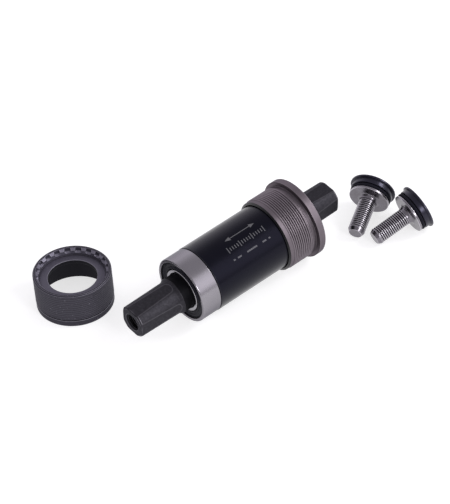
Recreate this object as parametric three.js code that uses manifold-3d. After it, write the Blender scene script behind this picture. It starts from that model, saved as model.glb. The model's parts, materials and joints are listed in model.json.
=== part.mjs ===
// Square-taper cartridge bottom bracket, laid out on a table with its loose parts:
// the closed cartridge with its flanged drive cup, the splined left cup standing on its
// open end, and two crank bolts with their dust caps. Millimetres, +Z up.
//
// Every piece is drawn about its own +X axis first. The cartridge lies on its left
// bearing race and on the cup's flange. Each bolt lies on its tip and on its flange or its
// cap's rim, whichever meets the table first. So their slopes come from their radii.

import * as THREE from "three";
import { mergeVertices } from "three/addons/utils/BufferGeometryUtils.js";
import Module from "manifold-3d";

const wasm = await Module();
wasm.setup();

// ---------------------------------------------------------------- driving dimensions

const degrees = THREE.MathUtils.degToRad;

// Fits
const SEAT_GAP = 0.3; // end gap between pieces that seat on each other
const PRESS_GAP = 0.12; // radial gap between pieces pressed together
const RUNNING_GAP = 0.18; // radial gap where one piece turns beside another

// Spindle, measured from its left end
const SPINDLE_LENGTH = 113;
const JOURNAL_R = 8.5;
const SHOULDER_HEIGHT = 0.9;
const CORNER_STEP = 1.1; // the taper's round corners, inside the journal
const CORNER_SLOPE = degrees(0.9);
const CORNER_RUN = 1.8; // of the corners, past the flats' straight length
const END_CHAMFER = 0.7;
const FLAT_DEPTH = 1; // of the flats below the corners, at the end face
const FLAT_SLOPE = degrees(2);
const FLAT_LENGTH = 19.5;
const FLAT_RUNOUT = 3.2;
const RUNOUT_CURVE = 0.7; // how far along the run-out its curve is pulled
const SPINDLE_CLOCK = degrees(7.65); // how far the top flat is turned
const TAPPED_R = 3.65;
const TAPPED_MOUTH_R = 4.25;
const TAPPED_DEPTH = 24;
const DRILL_POINT = 2;
const LEFT_JOURNAL = 4.6; // bare journal between the flats and the left bearing
const RIGHT_JOURNAL = 2.9;

// Bearings
const INNER_RACE_WALL = 1.53;
const OUTER_RACE_WALL = 1.45;
const RACE_CORNER = 0.6;
const RACE_CHAMFER = 0.2;
const INNER_RACE_SET_BACK = 0.3;
const BALL_R = 2.38;
const BALL_COUNT = 11;
const BALL_CLEARANCE = 0.16; // ball to raceway
const GROOVE_DEPTH = 0.43; // how far the balls stand into each race
const SPIGOT_LENGTH = 3.6; // the reduced end of the outer race, inside the sleeve
const SPIGOT_WALL = 0.45;
const CAGE_WALL = 1.4;
const CAGE_POCKET_GAP = 0.2;
const CAGE_RIM = 0.35; // cage left behind the pockets
const CAGE_PRONGS = 0.9; // how far the prongs reach past the balls' centres
const CAGE_SIDE_GAP = 0.17;
const SEAL_THICKNESS = 1.2;
const SEAL_SET_BACK = 0.5;
const SEAL_LIP = 0.35;

// Sleeve of the cartridge
const SHELL_PROUD = 0.15; // over the outer race
const SHELL_WALL = 1.05;
const SHELL_CHAMFER = 0.25;

// Threaded cups, both with the same thread and the same tool splines
const CUP_BORE_GAP = 0.3; // radial, over the sleeve
const CUP_WALL = 1.45; // at the thread
const THREAD_RELIEF = 0.65;
const RELIEF_RAMP = 0.35; // length of the slope at a thread's end
const SPLINE_COUNT = 20;
const SPLINE_WALL = 1.4; // outside the spline grooves
const SPLINE_HEIGHT = 1;
const SPLINE_TOOTH_SHARE = 0.36; // of one pitch, at the teeth's tops
const SPLINE_FLANK_SHARE = 0.08;
const SPLINE_BEVEL = 1;

// Drive cup
const DRIVE_COVER = 12.2; // how far the cup's mouth reaches over its bearing
const DRIVE_LEAD_IN = 2.5;
const DRIVE_LEAD_IN_STEP = 0.3;
const DRIVE_MOUTH_BEVEL = 0.5;
const DRIVE_RELIEF = 2.5; // plain length between the thread and the flange
const DRIVE_WEB = 2.1;
const DRIVE_SOCKET_DEPTH = 4.6;
const DRIVE_HOLE_GAP = 3.5; // radial, round the spindle
const FLANGE_WIDTH = 3.5;
const FLANGE_HEIGHT = 1.5;
const FLANGE_CORNER = 0.35;

// Left cup, standing on its open end
const LEFT_CUP_HEIGHT = 17.4;
const LEFT_BAND = 3;
const LEFT_BAND_STEP = 0.1;
const LEFT_GROOVE = 0.8;
const LEFT_SOCKET_DEPTH = 3.4;
const LEFT_WEB = 1.8;
const LEFT_HOLE_GAP = 2.5; // radial, round the spindle
const LEFT_TOP_CHAMFER = 0.5;
const LEFT_BASE_CHAMFER = 0.4;
const LEFT_GROOVE_RAMP = 0.2;

// Crank bolts, measured from the tip
const BOLT_R = 3.9;
const BOLT_TIP_CHAMFER = 0.9;
const BOLT_LENGTH = 19; // tip to the underside of the flange
const BOLT_NECK = 1.7; // radial spread of the fillet under the flange
const BOLT_FLANGE_R = 9.3;
const BOLT_FLANGE_THICKNESS = 1.1;
const BOLT_FLANGE_EDGE = 0.2;
const BOLT_HEAD_STEP = 2.7; // of the head inside the flange
const BOLT_HEAD_CHAMFER = 0.4;
const HEX_ACROSS_FLATS = 8;
const HEX_DEPTH = 5;

// Dust caps and the rings behind them
const CAP_PROUD = 0.35; // over the bolt's flange
const CAP_LENGTH = 3.5;
const CAP_RIM_HEIGHT = 0.95;
const CAP_RIM_WIDTH = 1.1;
const CAP_CHAMFER = 0.3;
const CAP_RUNNING_GAP = 0.3; // to the bolt's head, which turns inside it
const CAP_OVERHANG = 0.1; // of the cap past the head
const RING_SECTION_R = 0.8;
const RING_SET_IN = 0.15;
const RING_GAP = 0.2;

// Where the loose pieces lie, from the spindle's nearer end
const LEFT_CUP_PLACE = [-0.4, 41.9];
const LEFT_CUP_CLOCK = degrees(15.6); // how far its teeth are turned
const BOLT_PLACES = [
  { name: "a", tip: [3.6, -12.6], yaw: degrees(27.9) },
  { name: "b", tip: [7.5, -21], yaw: degrees(-8.7) },
];

// Facets round a turned piece, multiples of four so that a corner is at the bottom
const OUTER_FACETS = 32;
const INNER_FACETS = 28;
const BOLT_FACETS = 24;

// Straights along a curve in an outline, and facets round a ball's pocket
const RACEWAY_STEPS = 4;
const RUNOUT_STEPS = 4;
const RING_STEPS = 8;
const POCKET_FACETS = 12;

const CUT_PAST = 1; // how far a cutter reaches past the face it goes through
const CUT_CLEAR = 0.01; // between two cutters that would otherwise share a face

// ---------------------------------------------------------------- worked-out sizes

// Radii, from the spindle outwards
const CORNER_R = JOURNAL_R - CORNER_STEP;
const FLAT_HALF = CORNER_R - FLAT_DEPTH;
const SHOULDER_R = JOURNAL_R + SHOULDER_HEIGHT;
const INNER_RACE_R = JOURNAL_R + PRESS_GAP + INNER_RACE_WALL;
const RACE_BORE_R = INNER_RACE_R + 2 * (BALL_R - GROOVE_DEPTH);
const BALL_PITCH_R = (RACE_BORE_R + INNER_RACE_R) / 2;
const RACE_R = RACE_BORE_R + OUTER_RACE_WALL;
const SHELL_R = RACE_R + SHELL_PROUD;
const SHELL_BORE_R = SHELL_R - SHELL_WALL;
const CUP_BORE_R = SHELL_R + CUP_BORE_GAP;
const THREAD_R = CUP_BORE_R + CUP_WALL;
const THREAD_RELIEF_R = THREAD_R - THREAD_RELIEF;
const SPLINE_ROOT_R = THREAD_R - SPLINE_WALL;
const SPLINE_TIP_R = SPLINE_ROOT_R - SPLINE_HEIGHT;
const FLANGE_R = THREAD_R + FLANGE_HEIGHT;

// Places along the spindle
const POCKET_R = BALL_R + CAGE_POCKET_GAP;
const BALL_X = POCKET_R + CAGE_RIM + CAGE_SIDE_GAP + SEAL_THICKNESS + SEAL_SET_BACK;
const RACE_WIDTH = 2 * BALL_X;
const LEFT_BEARING_X = FLAT_LENGTH + FLAT_RUNOUT + LEFT_JOURNAL;
const RIGHT_BEARING_X = SPINDLE_LENGTH - FLAT_LENGTH - FLAT_RUNOUT - RIGHT_JOURNAL;
const SHELL_LEFT_X = LEFT_BEARING_X + RACE_WIDTH + SEAT_GAP;
const SHELL_RIGHT_X = RIGHT_BEARING_X - RACE_WIDTH - SEAT_GAP;
const DRIVE_MOUTH_X = RIGHT_BEARING_X - DRIVE_COVER;
const DRIVE_WEB_X = RIGHT_BEARING_X + SEAT_GAP;
const DRIVE_SOCKET_X = DRIVE_WEB_X + DRIVE_WEB;
const DRIVE_OUTER_X = DRIVE_SOCKET_X + DRIVE_SOCKET_DEPTH;
const FLANGE_X = DRIVE_OUTER_X - FLANGE_WIDTH;
const DRIVE_THREAD_END_X = FLANGE_X - DRIVE_RELIEF;
const LEFT_WEB_TOP = LEFT_CUP_HEIGHT - LEFT_SOCKET_DEPTH;

// Places along a bolt
const BOLT_TIP_R = BOLT_R - BOLT_TIP_CHAMFER;
const BOLT_HEAD_R = BOLT_FLANGE_R - BOLT_HEAD_STEP;
const BOLT_FLANGE_TOP_X = BOLT_LENGTH + BOLT_FLANGE_THICKNESS;
const CAP_R = BOLT_FLANGE_R + CAP_PROUD;
const CAP_RIM_R = CAP_R + CAP_RIM_HEIGHT;
const RING_R = CAP_R - RING_SET_IN - RING_SECTION_R;
const RING_X = BOLT_FLANGE_TOP_X + RING_GAP + RING_SECTION_R;
const CAP_FRONT_X = RING_X + RING_SECTION_R + RING_GAP;
const CAP_BACK_X = CAP_FRONT_X + CAP_LENGTH;
const CAP_RIM_X = CAP_BACK_X - CAP_RIM_WIDTH;
const BOLT_HEAD_X = CAP_BACK_X - CAP_OVERHANG;

// ---------------------------------------------------------------- materials

function finish(color, roughness, metalness) {
  return () => new THREE.MeshStandardMaterial({ color, roughness, metalness });
}

const blackSteel = finish(0x232327, 0.42, 0.8);
const blackPaint = finish(0x0c0c0f, 0.2, 0.1);
const raceSteel = finish(0xc4c4c8, 0.16, 1);
const machinedSteel = finish(0x6f6a6b, 0.38, 0.9);
const darkSteel = finish(0x454249, 0.45, 0.85);
const platedSteel = finish(0x9f9ca3, 0.25, 1);
const rubber = finish(0x141416, 0.7, 0);
const plastic = finish(0x17171b, 0.35, 0);
const cageNylon = finish(0x8a8578, 0.6, 0);

// ---------------------------------------------------------------- shape helpers

// A closed outline of [distance along the axis, radius] pairs, turned about +X.
// An outline that starts and ends at radius 0 closes along the axis.
function turned(outline, facets = OUTER_FACETS) {
  const points = outline.map(([x, r]) => new THREE.Vector2(r, x));
  if (outline[0][1] > 0) points.push(points[0].clone());
  if (THREE.ShapeUtils.area(points) < 0) points.reverse();
  return new THREE.LatheGeometry(points, facets).rotateZ(-Math.PI / 2);
}

// The same surface with shared corners merged, and without the triangles that
// collapse to a line where the outline meets the axis.
function welded(geometry) {
  const bare = geometry.clone();
  bare.deleteAttribute("normal");
  bare.deleteAttribute("uv");
  const merged = mergeVertices(bare, 1e-4);
  const corners = merged.index.array;
  const kept = [];
  for (let i = 0; i < corners.length; i += 3) {
    const [a, b, c] = corners.subarray(i, i + 3);
    if (a !== b && b !== c && c !== a) kept.push(a, b, c);
  }
  merged.setIndex(kept);
  return merged;
}

function toSolid(geometry) {
  const merged = welded(geometry);
  return new wasm.Manifold(
    new wasm.Mesh({
      numProp: 3,
      vertProperties: new Float32Array(merged.attributes.position.array),
      triVerts: new Uint32Array(merged.index.array),
    }),
  );
}

function toGeometry(solid) {
  const mesh = solid.getMesh();
  const geometry = new THREE.BufferGeometry();
  geometry.setAttribute("position", new THREE.BufferAttribute(mesh.vertProperties, 3));
  geometry.setIndex(new THREE.BufferAttribute(mesh.triVerts, 1));
  geometry.computeVertexNormals();
  return geometry;
}

function cut(geometry, cutters) {
  let solid = toSolid(geometry);
  for (const cutter of cutters) solid = solid.subtract(toSolid(cutter));
  return toGeometry(solid);
}

function piece(name, geometry, material) {
  const mesh = new THREE.Mesh(geometry, material());
  mesh.name = name;
  return mesh;
}

// Points of a circular arc in an outline, both ends included.
function arc(x, r, radius, from, to, steps) {
  const points = [];
  for (let i = 0; i <= steps; i += 1) {
    const angle = from + ((to - from) * i) / steps;
    points.push([x + radius * Math.cos(angle), r + radius * Math.sin(angle)]);
  }
  return points;
}

// ---------------------------------------------------------------- spindle

// The part of the blank outside one flat, ending in a curved run-out. It lies on the
// top side of the left end.
function flatCutter() {
  const side = new THREE.Shape();
  const reach = SHOULDER_R + CUT_PAST;
  const endHalf = FLAT_HALF + FLAT_LENGTH * Math.tan(FLAT_SLOPE);
  const pullX = FLAT_LENGTH + FLAT_RUNOUT * RUNOUT_CURVE;
  side.moveTo(-CUT_PAST, FLAT_HALF - CUT_PAST * Math.tan(FLAT_SLOPE));
  side.lineTo(FLAT_LENGTH, endHalf);
  side.quadraticCurveTo(pullX, endHalf, FLAT_LENGTH + FLAT_RUNOUT, reach);
  side.lineTo(-CUT_PAST, reach);
  const width = 2 * reach;
  const options = { depth: width, bevelEnabled: false, curveSegments: RUNOUT_STEPS };
  const block = new THREE.ExtrudeGeometry(side, options).translate(0, 0, -width / 2);
  return block.rotateX(Math.PI / 2);
}

function spindleGeometry() {
  const cornerEndX = FLAT_LENGTH + CORNER_RUN;
  const half = [
    [TAPPED_DEPTH + DRILL_POINT, 0],
    [TAPPED_DEPTH, TAPPED_R],
    [TAPPED_MOUTH_R - TAPPED_R, TAPPED_R],
    [0, TAPPED_MOUTH_R],
    [0, CORNER_R - END_CHAMFER],
    [END_CHAMFER, CORNER_R],
    [cornerEndX, CORNER_R + cornerEndX * Math.tan(CORNER_SLOPE)],
    [FLAT_LENGTH + FLAT_RUNOUT, JOURNAL_R],
  ];
  const mirrored = half.map(([x, r]) => [SPINDLE_LENGTH - x, r]).reverse();
  // the shoulder between the bearings ends level with the sleeve
  const middle = [
    [SHELL_LEFT_X, JOURNAL_R],
    [SHELL_LEFT_X, SHOULDER_R],
    [SHELL_RIGHT_X, SHOULDER_R],
    [SHELL_RIGHT_X, JOURNAL_R],
  ];
  const cutters = [];
  for (let side = 0; side < 4; side += 1) {
    const turn = (side * Math.PI) / 2;
    cutters.push(flatCutter().rotateX(turn));
    const farEnd = flatCutter().rotateX(turn).rotateZ(Math.PI).translate(SPINDLE_LENGTH, 0, 0);
    cutters.push(farEnd);
  }
  return cut(turned([...half, ...middle, ...mirrored]), cutters);
}

// ---------------------------------------------------------------- bearings

// The pieces of one bearing, drawn with its outboard face at x = 0 and its inboard side
// towards +X. The right bearing is the same set turned end for end.

function raceway(side) {
  const radius = BALL_R + BALL_CLEARANCE;
  const wall = side > 0 ? RACE_BORE_R : INNER_RACE_R;
  const reach = Math.acos(Math.abs(wall - BALL_PITCH_R) / radius);
  const middle = (side * Math.PI) / 2;
  const [from, to] = [middle + side * reach, middle - side * reach];
  return arc(BALL_X, BALL_PITCH_R, radius, from, to, RACEWAY_STEPS);
}

function outerRaceGeometry() {
  const spigotR = SHELL_BORE_R - PRESS_GAP;
  return turned(
    [
      [0, RACE_BORE_R + RACE_CHAMFER],
      [0, RACE_R - RACE_CORNER],
      [RACE_CORNER, RACE_R],
      [RACE_WIDTH, RACE_R],
      [RACE_WIDTH, spigotR],
      [RACE_WIDTH + SPIGOT_LENGTH, spigotR],
      [RACE_WIDTH + SPIGOT_LENGTH, spigotR - SPIGOT_WALL],
      [RACE_WIDTH, RACE_BORE_R],
      ...raceway(1).reverse(),
      [RACE_CHAMFER, RACE_BORE_R],
    ],
    OUTER_FACETS,
  );
}

function innerRaceGeometry() {
  const bore = JOURNAL_R + PRESS_GAP;
  const face = INNER_RACE_SET_BACK;
  return turned(
    [
      [face, bore + RACE_CHAMFER],
      [face, INNER_RACE_R - RACE_CHAMFER],
      [face + RACE_CHAMFER, INNER_RACE_R],
      ...raceway(-1),
      [RACE_WIDTH, INNER_RACE_R],
      [RACE_WIDTH, bore],
      [face + RACE_CHAMFER, bore],
    ],
    INNER_FACETS,
  );
}

function sealGeometry(outboard) {
  const inner = INNER_RACE_R + RUNNING_GAP;
  const outer = RACE_BORE_R - PRESS_GAP;
  const face = outboard ? SEAL_SET_BACK : RACE_WIDTH - SEAL_SET_BACK;
  const inward = outboard ? 1 : -1;
  const at = (depth) => face + inward * depth;
  return turned(
    [
      [at(0), inner],
      [at(0), inner + SEAL_LIP],
      [at(SEAL_LIP), inner + 2 * SEAL_LIP],
      [at(0), outer],
      [at(SEAL_THICKNESS), outer],
      [at(SEAL_THICKNESS), inner],
    ],
    INNER_FACETS,
  );
}

function ballPlaces() {
  const places = [];
  for (let i = 0; i < BALL_COUNT; i += 1) places.push((i * 2 * Math.PI) / BALL_COUNT);
  return places;
}

function cageGeometry() {
  const inner = BALL_PITCH_R - CAGE_WALL / 2;
  const outer = BALL_PITCH_R + CAGE_WALL / 2;
  const ring = turned(
    [
      [BALL_X - CAGE_PRONGS, inner],
      [BALL_X - CAGE_PRONGS, outer],
      [BALL_X + POCKET_R + CAGE_RIM, outer],
      [BALL_X + POCKET_R + CAGE_RIM, inner],
    ],
    2 * BALL_COUNT,
  );
  const pockets = ballPlaces().map((angle) =>
    new THREE.CylinderGeometry(POCKET_R, POCKET_R, 2 * CAGE_WALL, POCKET_FACETS)
      .rotateX(Math.PI / 2)
      .translate(BALL_X, 0, BALL_PITCH_R)
      .rotateX(angle),
  );
  return cut(ring, pockets);
}

function bearing(side) {
  const group = new THREE.Group();
  group.add(piece(`${side}_outer_race`, outerRaceGeometry(), raceSteel));
  group.add(piece(`${side}_inner_race`, innerRaceGeometry(), raceSteel));
  group.add(piece(`${side}_outboard_seal`, sealGeometry(true), rubber));
  group.add(piece(`${side}_inboard_seal`, sealGeometry(false), rubber));
  group.add(piece(`${side}_cage`, cageGeometry(), cageNylon));
  ballPlaces().forEach((angle, i) => {
    const number = String(i + 1).padStart(2, "0");
    const ball = new THREE.IcosahedronGeometry(BALL_R, 1).translate(BALL_X, 0, BALL_PITCH_R);
    group.add(piece(`${side}_ball_${number}`, ball.rotateX(angle), raceSteel));
  });
  return group;
}

// ---------------------------------------------------------------- sleeve and cups

function shellGeometry() {
  return turned([
    [SHELL_LEFT_X, SHELL_BORE_R],
    [SHELL_LEFT_X, SHELL_R - SHELL_CHAMFER],
    [SHELL_LEFT_X + SHELL_CHAMFER, SHELL_R],
    [SHELL_RIGHT_X, SHELL_R],
    [SHELL_RIGHT_X, SHELL_BORE_R],
  ]);
}

// The hollow that the tool's splines fit: grooves between teeth, from the floor to past
// the outer face, with a bevel over the tops of the teeth. The teeth are turned by clock.
function splineCutters(floorX, outerX, clock) {
  const outline = new THREE.Shape();
  const pitch = (2 * Math.PI) / SPLINE_COUNT;
  const tooth = pitch * SPLINE_TOOTH_SHARE;
  const flank = pitch * SPLINE_FLANK_SHARE;
  const corners = [];
  for (let i = 0; i < SPLINE_COUNT; i += 1) {
    const start = i * pitch - tooth / 2;
    corners.push([SPLINE_TIP_R, start], [SPLINE_TIP_R, start + tooth]);
    corners.push([SPLINE_ROOT_R, start + tooth + flank], [SPLINE_ROOT_R, start + pitch - flank]);
  }
  corners.forEach(([r, angle], i) => {
    const method = i === 0 ? "moveTo" : "lineTo";
    outline[method](r * Math.cos(angle), r * Math.sin(angle));
  });
  outline.closePath();
  const depth = outerX - floorX + CUT_PAST;
  const socket = new THREE.ExtrudeGeometry(outline, { depth, bevelEnabled: false })
    .rotateY(Math.PI / 2)
    .rotateX(clock)
    .translate(floorX, 0, 0);
  const bevel = turned([
    [outerX - SPLINE_BEVEL, 0],
    [outerX - SPLINE_BEVEL, SPLINE_TIP_R - CUT_CLEAR],
    [outerX, SPLINE_ROOT_R - CUT_CLEAR],
    [outerX + CUT_PAST, SPLINE_ROOT_R - CUT_CLEAR],
    [outerX + CUT_PAST, 0],
  ]);
  return [socket, bevel];
}

function driveCupGeometry() {
  const leadInR = THREAD_R - DRIVE_LEAD_IN_STEP;
  const holeR = JOURNAL_R + DRIVE_HOLE_GAP;
  const body = turned([
    [DRIVE_MOUTH_X, CUP_BORE_R + DRIVE_MOUTH_BEVEL],
    [DRIVE_MOUTH_X, leadInR],
    [DRIVE_MOUTH_X + DRIVE_LEAD_IN, leadInR],
    [DRIVE_MOUTH_X + DRIVE_LEAD_IN + DRIVE_LEAD_IN_STEP, THREAD_R],
    [DRIVE_THREAD_END_X, THREAD_R],
    [DRIVE_THREAD_END_X + RELIEF_RAMP, THREAD_RELIEF_R],
    [FLANGE_X, THREAD_RELIEF_R],
    [FLANGE_X, FLANGE_R - FLANGE_CORNER],
    [FLANGE_X + FLANGE_CORNER, FLANGE_R],
    [DRIVE_OUTER_X - FLANGE_CORNER, FLANGE_R],
    [DRIVE_OUTER_X, FLANGE_R - FLANGE_CORNER],
    [DRIVE_OUTER_X, holeR],
    [DRIVE_WEB_X, holeR],
    [DRIVE_WEB_X, CUP_BORE_R],
    [DRIVE_MOUTH_X + DRIVE_MOUTH_BEVEL, CUP_BORE_R],
  ]);
  return cut(body, splineCutters(DRIVE_SOCKET_X, DRIVE_OUTER_X, 0));
}

function leftCupGeometry() {
  const grooveEnd = LEFT_BAND + LEFT_GROOVE;
  const bandR = THREAD_R - LEFT_BAND_STEP;
  const holeR = JOURNAL_R + LEFT_HOLE_GAP;
  const body = turned([
    [0, CUP_BORE_R],
    [0, bandR - LEFT_BASE_CHAMFER],
    [LEFT_BASE_CHAMFER, bandR],
    [LEFT_BAND, bandR],
    [LEFT_BAND + LEFT_GROOVE_RAMP, THREAD_RELIEF_R],
    [grooveEnd - LEFT_GROOVE_RAMP, THREAD_RELIEF_R],
    [grooveEnd, THREAD_R],
    [LEFT_CUP_HEIGHT - LEFT_TOP_CHAMFER, THREAD_R],
    [LEFT_CUP_HEIGHT, THREAD_R - LEFT_TOP_CHAMFER],
    [LEFT_CUP_HEIGHT, holeR],
    [LEFT_WEB_TOP - LEFT_WEB, holeR],
    [LEFT_WEB_TOP - LEFT_WEB, CUP_BORE_R],
  ]);
  return cut(body, splineCutters(LEFT_WEB_TOP, LEFT_CUP_HEIGHT, LEFT_CUP_CLOCK));
}

// ---------------------------------------------------------------- bolts

function boltGeometry() {
  const body = turned(
    [
      [0, 0],
      [0, BOLT_TIP_R],
      [BOLT_TIP_CHAMFER, BOLT_R],
      [BOLT_LENGTH - BOLT_NECK, BOLT_R],
      [BOLT_LENGTH, BOLT_R + BOLT_NECK],
      [BOLT_LENGTH, BOLT_FLANGE_R - BOLT_FLANGE_EDGE],
      [BOLT_LENGTH + BOLT_FLANGE_EDGE, BOLT_FLANGE_R],
      [BOLT_FLANGE_TOP_X, BOLT_FLANGE_R],
      [BOLT_FLANGE_TOP_X, BOLT_HEAD_R],
      [BOLT_HEAD_X - BOLT_HEAD_CHAMFER, BOLT_HEAD_R],
      [BOLT_HEAD_X, BOLT_HEAD_R - BOLT_HEAD_CHAMFER],
      [BOLT_HEAD_X, 0],
    ],
    BOLT_FACETS,
  );
  const cornerR = HEX_ACROSS_FLATS / 2 / Math.cos(Math.PI / 6);
  const cutLength = HEX_DEPTH + CUT_PAST;
  const hexagon = new THREE.CylinderGeometry(cornerR, cornerR, cutLength, 6)
    .rotateZ(-Math.PI / 2)
    .translate(BOLT_HEAD_X - HEX_DEPTH + cutLength / 2, 0, 0);
  return cut(body, [hexagon]);
}

function capGeometry() {
  const bore = BOLT_HEAD_R + CAP_RUNNING_GAP;
  return turned(
    [
      [CAP_FRONT_X, bore],
      [CAP_FRONT_X, CAP_R - CAP_CHAMFER],
      [CAP_FRONT_X + CAP_CHAMFER, CAP_R],
      [CAP_RIM_X, CAP_R],
      [CAP_RIM_X, CAP_RIM_R],
      [CAP_BACK_X - CAP_CHAMFER, CAP_RIM_R],
      [CAP_BACK_X, CAP_RIM_R - CAP_CHAMFER],
      [CAP_BACK_X, bore + CAP_CHAMFER],
      [CAP_BACK_X - CAP_CHAMFER, bore],
    ],
    BOLT_FACETS,
  );
}

function ringGeometry() {
  const section = arc(RING_X, RING_R, RING_SECTION_R, 0, 2 * Math.PI, RING_STEPS);
  return turned(section.slice(1), BOLT_FACETS);
}

// ---------------------------------------------------------------- assembly

// The slope of an axis whose piece lies on its low edge and on whichever of its high
// edges meets the table first, and the height of the axis at x = 0. Each edge is an
// [x, radius] pair.
function restOn(low, ...highs) {
  const slopes = highs.map((high) => Math.atan((high[1] - low[1]) / (high[0] - low[0])));
  const slope = Math.max(...slopes);
  const height = low[1] * Math.cos(slope) - low[0] * Math.sin(slope);
  return { slope, height };
}

function cartridge() {
  const raceEdge = [LEFT_BEARING_X + RACE_CORNER, RACE_R];
  const flangeEdge = [FLANGE_X + FLANGE_CORNER, FLANGE_R];
  const { slope, height } = restOn(raceEdge, flangeEdge);
  const group = new THREE.Group();
  group.rotation.y = -slope;
  group.position.z = height;

  const spindle = piece("spindle", spindleGeometry(), blackSteel);
  spindle.rotation.x = SPINDLE_CLOCK;
  group.add(spindle);

  const left = bearing("left");
  left.position.x = LEFT_BEARING_X;
  group.add(left);

  const right = bearing("right");
  right.rotation.z = Math.PI;
  right.position.x = RIGHT_BEARING_X;
  group.add(right);

  group.add(piece("cartridge_shell", shellGeometry(), blackPaint));
  group.add(piece("drive_cup", driveCupGeometry(), machinedSteel));
  return group;
}

function leftCup() {
  const cup = piece("left_cup", leftCupGeometry(), darkSteel);
  cup.rotation.y = -Math.PI / 2;
  cup.position.set(LEFT_CUP_PLACE[0], LEFT_CUP_PLACE[1], 0);
  return cup;
}

function crankBolt({ name, tip, yaw }) {
  const tipEdge = [BOLT_TIP_CHAMFER, BOLT_R];
  const flangeEdge = [BOLT_LENGTH + BOLT_FLANGE_EDGE, BOLT_FLANGE_R];
  const rimEdge = [CAP_RIM_X, CAP_RIM_R];
  const { slope, height } = restOn(tipEdge, flangeEdge, rimEdge);
  const lying = new THREE.Group();
  lying.rotation.y = -slope;
  lying.add(piece(`crank_bolt_${name}`, boltGeometry(), platedSteel));
  lying.add(piece(`dust_cap_${name}`, capGeometry(), plastic));
  lying.add(piece(`seal_ring_${name}`, ringGeometry(), rubber));
  const placed = new THREE.Group();
  placed.rotation.z = yaw;
  placed.position.set(SPINDLE_LENGTH + tip[0], tip[1], height);
  placed.add(lying);
  return placed;
}

const bottomBracket = new THREE.Group();
bottomBracket.add(cartridge());
bottomBracket.add(leftCup());
for (const place of BOLT_PLACES) bottomBracket.add(crankBolt(place));

// The origin is the middle of the laid-out set's base.
bottomBracket.updateMatrixWorld(true);
const extent = new THREE.Box3().setFromObject(bottomBracket, true);
const middle = extent.getCenter(new THREE.Vector3());
bottomBracket.position.set(-middle.x, -middle.y, -extent.min.z);

export default bottomBracket;
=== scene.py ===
# %% [markdown]
# # A square-taper bottom bracket, laid out with its loose parts
# A bicycle's bottom bracket is the bearing unit that the cranks turn on. This one is a
# cartridge: a hard steel spindle in two ball bearings, closed in a black sleeve, with a
# threaded drive cup on its right end. The left cup, two crank bolts and their dust caps
# lie beside it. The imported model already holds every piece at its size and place. This
# lesson makes the surfaces that an eye sees: threads, tool splines, rounded edges, and
# the finish of each metal, rubber and plastic.

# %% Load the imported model
import json
import math
from collections import namedtuple

import bpy
import numpy as np
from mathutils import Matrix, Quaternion, Vector


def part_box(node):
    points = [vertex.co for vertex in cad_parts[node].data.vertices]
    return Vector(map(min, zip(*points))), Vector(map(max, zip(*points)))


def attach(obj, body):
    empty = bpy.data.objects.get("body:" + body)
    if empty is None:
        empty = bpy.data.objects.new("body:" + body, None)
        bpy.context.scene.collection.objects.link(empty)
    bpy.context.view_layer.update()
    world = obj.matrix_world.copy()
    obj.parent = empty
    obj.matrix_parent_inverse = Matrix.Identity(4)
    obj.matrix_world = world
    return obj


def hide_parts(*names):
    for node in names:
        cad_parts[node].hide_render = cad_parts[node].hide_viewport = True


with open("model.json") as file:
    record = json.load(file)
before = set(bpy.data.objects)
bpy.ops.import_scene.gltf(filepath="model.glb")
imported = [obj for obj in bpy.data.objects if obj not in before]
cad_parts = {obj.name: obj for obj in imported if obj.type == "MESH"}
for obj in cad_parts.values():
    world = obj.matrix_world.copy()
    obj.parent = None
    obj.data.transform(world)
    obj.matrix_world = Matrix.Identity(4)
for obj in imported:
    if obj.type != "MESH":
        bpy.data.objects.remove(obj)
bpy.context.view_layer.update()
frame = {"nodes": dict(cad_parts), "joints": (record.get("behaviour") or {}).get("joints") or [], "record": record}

MM = 0.001
bodies = frame["record"]["behaviour"]["bodies"]
body_of_node = {member: body for body, members in bodies.items() for member in members}
joints = {joint["name"]: joint for joint in frame["joints"]}
print("pieces in the packed model:", len(frame["nodes"]))

# %% [markdown]
# ## Axes to turn pieces about
# Nearly everything here came off a lathe, so one idea carries the whole model: an axis,
# a distance along it and a radius. Each axis could be typed in as numbers, but the
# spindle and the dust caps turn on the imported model's joints, which hold a point and a
# direction. Taking those keeps the fine pieces in line with the solids they stand for.


# %% An axis, and a node's span along it
def unit(vector):
    """The vector shortened or stretched to a length of one."""
    vector = np.array(vector, float)
    return vector / np.linalg.norm(vector)


class Axle:
    """A line that pieces are turned about. ahead runs along it, up is square to ahead and
    as near to a chosen direction as it can be, and side is up x ahead."""

    def __init__(self, start, ahead, near=(0, 0, 1)):
        self.start = np.array(start, float)
        self.ahead = unit(ahead)
        self.up = unit(near - np.dot(near, self.ahead) * self.ahead)
        self.side = np.cross(self.up, self.ahead)

    def place(self, x, y, z):
        """start + x ahead + y side + z up, with x, y and z in millimetres."""
        steps = x[..., None] * self.ahead + y[..., None] * self.side
        return self.start + MM * (steps + z[..., None] * self.up)


def corners_of(node):
    """The corners of a node's mesh as rows of x, y, z in metres."""
    mesh = frame["nodes"][node].data
    flat = np.zeros(3 * len(mesh.vertices), np.float32)
    mesh.vertices.foreach_get("co", flat)
    return flat.reshape(-1, 3).astype(float)


def joint_axle(joint, node):
    """The joint's axis, started where the node begins, so that its distances are 0 there."""
    point, ahead = np.array(joints[joint]["pos_m"]), unit(joints[joint]["axis"])
    first = ((corners_of(node) - point) @ ahead).min()
    return Axle(point + first * ahead, ahead)


Span = namedtuple("Span", "start stop inner outer")


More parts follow.
